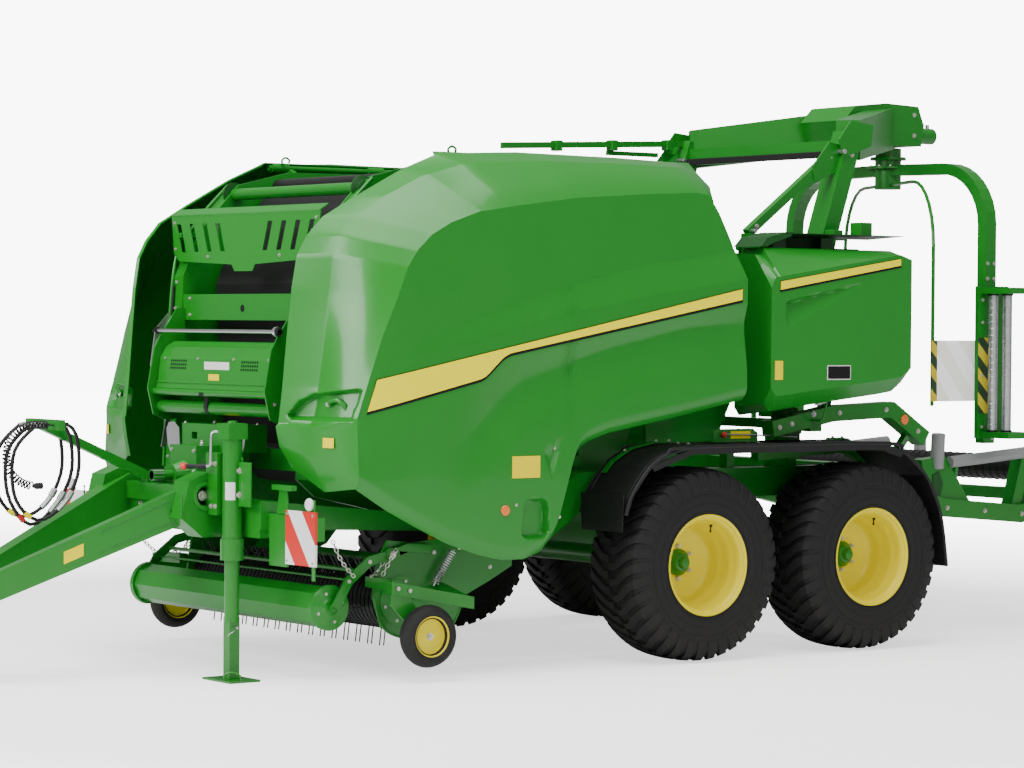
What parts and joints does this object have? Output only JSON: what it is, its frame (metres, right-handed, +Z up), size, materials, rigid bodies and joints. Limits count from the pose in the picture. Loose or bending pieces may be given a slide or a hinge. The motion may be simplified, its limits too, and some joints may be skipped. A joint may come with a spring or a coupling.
{
  "type": "round baler",
  "caption": "Towed round baler with a built-in bale wrapper: pickup, belt chamber under gull-wing side doors, rear gate, film boxes and a turning wrapping arm over a tilting table.",
  "frame": {"origin": "middle of the machine's length and width, on the ground", "axes": "+Z up, -Y towards the hitch at the front, +X towards the machine's left side"},
  "size_m": [2.97, 8.5008, 3.53],
  "materials": {
    "green_paint": "gloss",
    "dark_green_paint": "satin",
    "tyre_rubber": "matte",
    "yellow_paint": "gloss",
    "black_plastic": "matte",
    "belt_rubber": "matte",
    "black_paint": "satin",
    "bare_steel": "satin",
    "tine_steel": "satin",
    "clear_plastic": "clear",
    "grey_paint": "satin",
    "hose_rubber": "matte",
    "sign_paint": "gloss"
  },
  "bodies": {
    "frame": {"chassis": "green_paint", "bogie": "green_paint", "fender_left": "black_plastic", "fender_right": "black_plastic", "drawbar": "green_paint", "jack_column": "green_paint", "gearbox": "green_paint", "bale_chamber": "green_paint", "belts": "belt_rubber", "front_grille": "green_paint", "net_tray": "green_paint", "net_lever": "bare_steel", "film_rack_left": "green_paint", "film_rack_right": "green_paint", "deck_left": "dark_green_paint", "deck_right": "dark_green_paint", "wrapper_frame": "green_paint", "gantry": "green_paint", "hose_holder": "green_paint", "hose_left": "hose_rubber", "hose_middle": "hose_rubber", "hose_right": "hose_rubber", "coil_cable": "hose_rubber", "hazard_plate_left": "sign_paint", "hazard_plate_right": "sign_paint"},
    "jack": {"jack_leg": "green_paint"},
    "side_door_l": {"side_door_left": "green_paint"},
    "side_door_r": {"side_door_right": "green_paint"},
    "rear_gate": {"tailgate": "green_paint"},
    "net_lid": {"net_cover": "green_paint"},
    "roller_top": {"top_roller": "black_paint"},
    "pickup": {"pickup_frame": "green_paint", "stripper_bands": "black_paint"},
    "reel": {"tine_reel": "tine_steel"},
    "wind_guard": {"guard_arms": "green_paint"},
    "wind_roller": {"guard_roller": "green_paint"},
    "gauge_l": {"gauge_wheel_left": "tyre_rubber"},
    "gauge_r": {"gauge_wheel_right": "tyre_rubber"},
    "film_door_l": {"film_door_left": "green_paint"},
    "film_door_r": {"film_door_right": "green_paint"},
    "rotor": {"wrap_rotor": "green_paint", "film_unit_left": "green_paint", "film_unit_right": "green_paint", "safety_flap_left": "clear_plastic", "safety_flap_right": "clear_plastic"},
    "table": {"wrap_table": "green_paint"},
    "table_roller_f": {"table_roller_front": "grey_paint"},
    "table_roller_r": {"table_roller_rear": "grey_paint"},
    "wheel_front_left": {"tyre_front_left": "tyre_rubber", "rim_front_left": "yellow_paint"},
    "wheel_front_right": {"tyre_front_right": "tyre_rubber", "rim_front_right": "yellow_paint"},
    "wheel_rear_left": {"tyre_rear_left": "tyre_rubber", "rim_rear_left": "yellow_paint"},
    "wheel_rear_right": {"tyre_rear_right": "tyre_rubber", "rim_rear_right": "yellow_paint"}
  },
  "joints": [
    {"name": "wheel_front_left_spin", "type": "hinge", "parent": "frame", "child": "wheel_front_left", "pos_m": [1.25, 0.35, 0.585], "axis": [1, 0, 0], "continuous": true},
    {"name": "wheel_front_right_spin", "type": "hinge", "parent": "frame", "child": "wheel_front_right", "pos_m": [-1.25, 0.35, 0.585], "axis": [1, 0, 0], "continuous": true},
    {"name": "wheel_rear_left_spin", "type": "hinge", "parent": "frame", "child": "wheel_rear_left", "pos_m": [1.25, 1.685, 0.585], "axis": [1, 0, 0], "continuous": true},
    {"name": "wheel_rear_right_spin", "type": "hinge", "parent": "frame", "child": "wheel_rear_right", "pos_m": [-1.25, 1.685, 0.585], "axis": [1, 0, 0], "continuous": true},
    {"name": "pickup_lift", "type": "hinge", "parent": "frame", "child": "pickup", "pos_m": [0, -0.87, 0.66], "axis": [-1, 0, 0], "range_deg": [-5, 7]},
    {"name": "reel_spin", "type": "hinge", "parent": "pickup", "child": "reel", "pos_m": [0, -1.58, 0.43], "axis": [1, 0, 0], "continuous": true},
    {"name": "wind_guard_swing", "type": "hinge", "parent": "pickup", "child": "wind_guard", "pos_m": [0, -1.67, 0.7], "axis": [-1, 0, 0], "range_deg": [-5, 10]},
    {"name": "wind_roller_spin", "type": "hinge", "parent": "wind_guard", "child": "wind_roller", "pos_m": [0, -2.05, 0.41], "axis": [1, 0, 0], "continuous": true},
    {"name": "gauge_wheel_left_spin", "type": "hinge", "parent": "pickup", "child": "gauge_l", "pos_m": [1.39, -1.633, 0.259], "axis": [1, 0, 0], "continuous": true},
    {"name": "gauge_wheel_right_spin", "type": "hinge", "parent": "pickup", "child": "gauge_r", "pos_m": [-1.39, -1.633, 0.259], "axis": [1, 0, 0], "continuous": true},
    {"name": "side_door_left_open", "type": "hinge", "parent": "frame", "child": "side_door_l", "pos_m": [0.93, -0.25, 2.9877], "axis": [0, -1, 0], "range_deg": [0, 70]},
    {"name": "side_door_right_open", "type": "hinge", "parent": "frame", "child": "side_door_r", "pos_m": [-0.93, -0.25, 2.9877], "axis": [0, 1, 0], "range_deg": [0, 70]},
    {"name": "rear_gate_open", "type": "hinge", "parent": "frame", "child": "rear_gate", "pos_m": [0, 0.21, 2.9], "axis": [1, 0, 0], "range_deg": [0, 55]},
    {"name": "net_lid_open", "type": "hinge", "parent": "frame", "child": "net_lid", "pos_m": [0, -2.22, 1.6], "axis": [1, 0, 0], "range_deg": [0, 80]},
    {"name": "top_roller_spin", "type": "hinge", "parent": "frame", "child": "roller_top", "pos_m": [0, -1.33, 2.8533], "axis": [1, 0, 0], "continuous": true},
    {"name": "film_door_left_open", "type": "hinge", "parent": "frame", "child": "film_door_l", "pos_m": [0.95, 0.925, 2], "axis": [0, 0, -1], "range_deg": [0, 50]},
    {"name": "film_door_right_open", "type": "hinge", "parent": "frame", "child": "film_door_r", "pos_m": [-0.95, 0.925, 2], "axis": [0, 0, 1], "range_deg": [0, 50]},
    {"name": "rotor_spin", "type": "hinge", "parent": "frame", "child": "rotor", "pos_m": [0, 3.18, 3], "axis": [0, 0, 1], "continuous": true},
    {"name": "table_tilt", "type": "hinge", "parent": "frame", "child": "table", "pos_m": [0, 2.59, 0.9], "axis": [-1, 0, 0], "range_deg": [0, 15]},
    {"name": "table_roller_front_spin", "type": "hinge", "parent": "table", "child": "table_roller_f", "pos_m": [0, 2.97, 1.06], "axis": [1, 0, 0], "continuous": true},
    {"name": "table_roller_rear_spin", "type": "hinge", "parent": "table", "child": "table_roller_r", "pos_m": [0, 3.8, 1.06], "axis": [1, 0, 0], "continuous": true},
    {"name": "jack_slide", "type": "slide", "parent": "frame", "child": "jack", "axis": [0, 0, 1], "range_m": [0, 0.3]}
  ]
}
